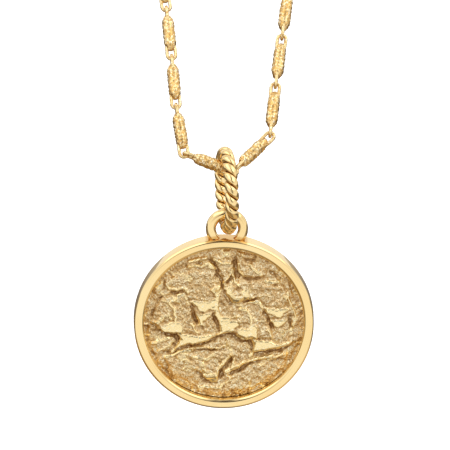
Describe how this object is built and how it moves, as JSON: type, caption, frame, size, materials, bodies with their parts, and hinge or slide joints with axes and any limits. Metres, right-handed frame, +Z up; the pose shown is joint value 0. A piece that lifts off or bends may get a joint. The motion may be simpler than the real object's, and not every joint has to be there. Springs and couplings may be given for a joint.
{
  "type": "medallion pendant necklace",
  "caption": "Round framed medallion with a rocky cast relief, hung from a twisted wire ring on a chain of textured barrel links",
  "frame": {"origin": "The middle of the chain at the nape of the neck, where the necklace hangs", "axes": "+Z is up, the medallion faces -Y, and +X is to the viewer's right"},
  "size_m": [0.1176, 0.114, 0.1776],
  "materials": {
    "polished_gold": "polished yellow gold plate",
    "cast_gold": "cast surface, satin in the hollows and burnished on the crests",
    "textured_gold": "bright gold plate over a pitted barrel surface"
  },
  "bodies": {
    "necklace": {"chain": "textured_gold", "clasp": "polished_gold"},
    "bail": {"twisted_bail": "polished_gold"},
    "medallion": {"medallion_frame": "polished_gold", "relief_disc": "cast_gold"}
  },
  "joints": [
    {"name": "bail_swing", "type": "hinge", "parent": "necklace", "child": "bail", "pos_m": [0, -0.10652, -0.14136], "axis": [1, 0, 0], "range_deg": [-75, 75]},
    {"name": "medallion_swing", "type": "hinge", "parent": "bail", "child": "medallion", "pos_m": [0.00041, -0.10652, -0.14952], "axis": [0, 1, 0], "range_deg": [-60, 60]}
  ]
}
